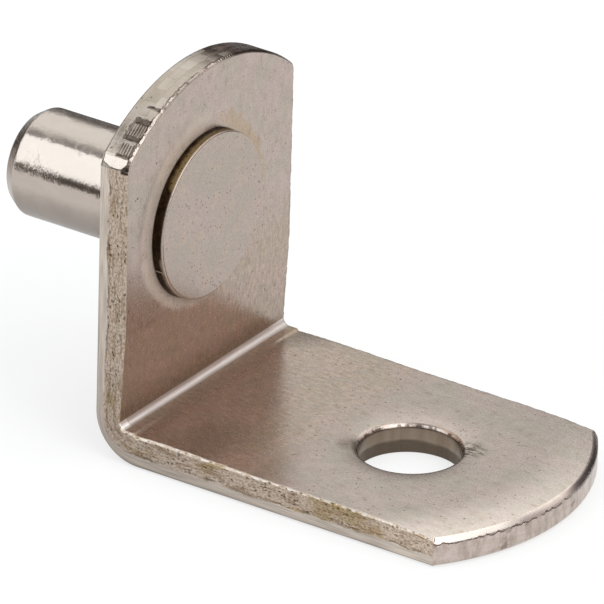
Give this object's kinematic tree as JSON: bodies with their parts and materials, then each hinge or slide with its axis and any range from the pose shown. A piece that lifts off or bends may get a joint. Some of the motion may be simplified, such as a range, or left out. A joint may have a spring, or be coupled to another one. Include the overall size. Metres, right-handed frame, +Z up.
{
  "type": "shelf support pin",
  "caption": "Bent steel angle with a headed pin through its upright leg and a screw hole in the leg that carries the shelf.",
  "frame": {"origin": "on the pin's axis, where the pin leaves the wall side of the upright leg", "axes": "-X along the pin into the wall, +X along the shelf leg, +Z up, Y across the strip"},
  "size_m": [0.0278, 0.013, 0.017],
  "materials": {
    "strip_nickel": "satin nickel plate over sheared steel, with brown staining towards the bend",
    "pin_nickel": "turned steel, nickel plated, with fine marks along the shank"
  },
  "bodies": {
    "root": {"bracket": "strip_nickel", "pin": "pin_nickel"}
  },
  "joints": []
}
